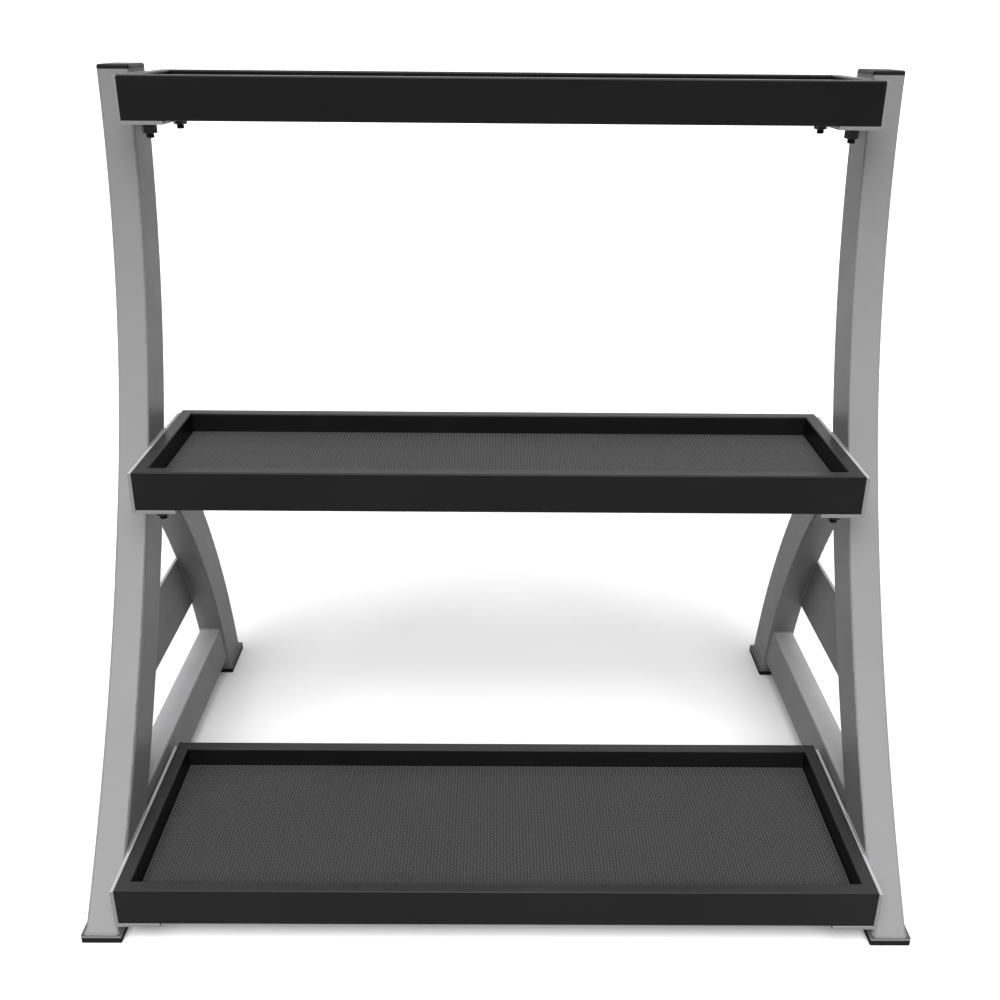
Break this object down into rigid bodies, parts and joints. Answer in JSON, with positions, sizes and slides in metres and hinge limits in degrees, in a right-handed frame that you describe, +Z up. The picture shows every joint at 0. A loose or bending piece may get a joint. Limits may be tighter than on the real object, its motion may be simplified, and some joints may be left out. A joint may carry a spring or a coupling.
{
  "type": "dumbbell rack",
  "caption": "Free-standing dumbbell rack: bent-tube side frames on padded feet carry stepped flat trays with raised rims and textured rubber mats.",
  "frame": {"origin": "centre of the footprint on the floor: midway between the side frames and midway front to back, under the foot pads", "axes": "+Z up; +Y from the front (lowest tray) to the back (rear legs); +X to the right as seen from the front"},
  "size_m": [1.1734, 0.7966, 1.1385],
  "materials": {
    "frame_paint": "satin silver-grey powder coat",
    "bracket_paint": "satin silver-grey powder coat",
    "tray_paint": "satin black powder coat",
    "tray_mat": "matt rubber with a fine raised diamond pattern",
    "foot_rubber": "matt",
    "cap_plastic": "satin moulded",
    "fastener_black": "black-coated steel"
  },
  "bodies": {
    "root": {"left_upright": "frame_paint", "left_rear_leg": "frame_paint", "left_base_rail": "frame_paint", "left_gusset_plate": "frame_paint", "left_front_foot_plate": "frame_paint", "left_rear_foot_plate": "frame_paint", "left_front_foot_pad": "foot_rubber", "left_rear_foot_pad": "foot_rubber", "left_upright_cap": "cap_plastic", "right_upright": "frame_paint", "right_rear_leg": "frame_paint", "right_base_rail": "frame_paint", "right_gusset_plate": "frame_paint", "right_front_foot_plate": "frame_paint", "right_rear_foot_plate": "frame_paint", "right_front_foot_pad": "foot_rubber", "right_rear_foot_pad": "foot_rubber", "right_upright_cap": "cap_plastic", "bottom_tray_front_rim": "tray_paint", "bottom_tray_rear_rim": "tray_paint", "bottom_tray_left_rim": "tray_paint", "bottom_tray_right_rim": "tray_paint", "bottom_tray_deck": "tray_paint", "bottom_tray_left_strip": "tray_paint", "bottom_tray_right_strip": "tray_paint", "bottom_tray_mat": "tray_mat", "bottom_tray_bolts": "fastener_black", "bottom_tray_washers": "fastener_black", "bottom_tray_nuts": "fastener_black", "bottom_left_bracket": "bracket_paint", "bottom_right_bracket": "bracket_paint", "middle_tray_front_rim": "tray_paint", "middle_tray_rear_rim": "tray_paint", "middle_tray_left_rim": "tray_paint", "middle_tray_right_rim": "tray_paint", "middle_tray_deck": "tray_paint", "middle_tray_left_strip": "tray_paint", "middle_tray_right_strip": "tray_paint", "middle_tray_mat": "tray_mat", "middle_tray_bolts": "fastener_black", "middle_tray_washers": "fastener_black", "middle_tray_nuts": "fastener_black", "middle_left_bracket": "bracket_paint", "middle_right_bracket": "bracket_paint", "top_tray_front_rim": "tray_paint", "top_tray_rear_rim": "tray_paint", "top_tray_left_rim": "tray_paint", "top_tray_right_rim": "tray_paint", "top_tray_deck": "tray_paint", "top_tray_left_strip": "tray_paint", "top_tray_right_strip": "tray_paint", "top_tray_mat": "tray_mat", "top_tray_bolts": "fastener_black", "top_tray_washers": "fastener_black", "top_tray_nuts": "fastener_black", "top_left_bracket": "bracket_paint", "top_right_bracket": "bracket_paint"}
  },
  "joints": []
}
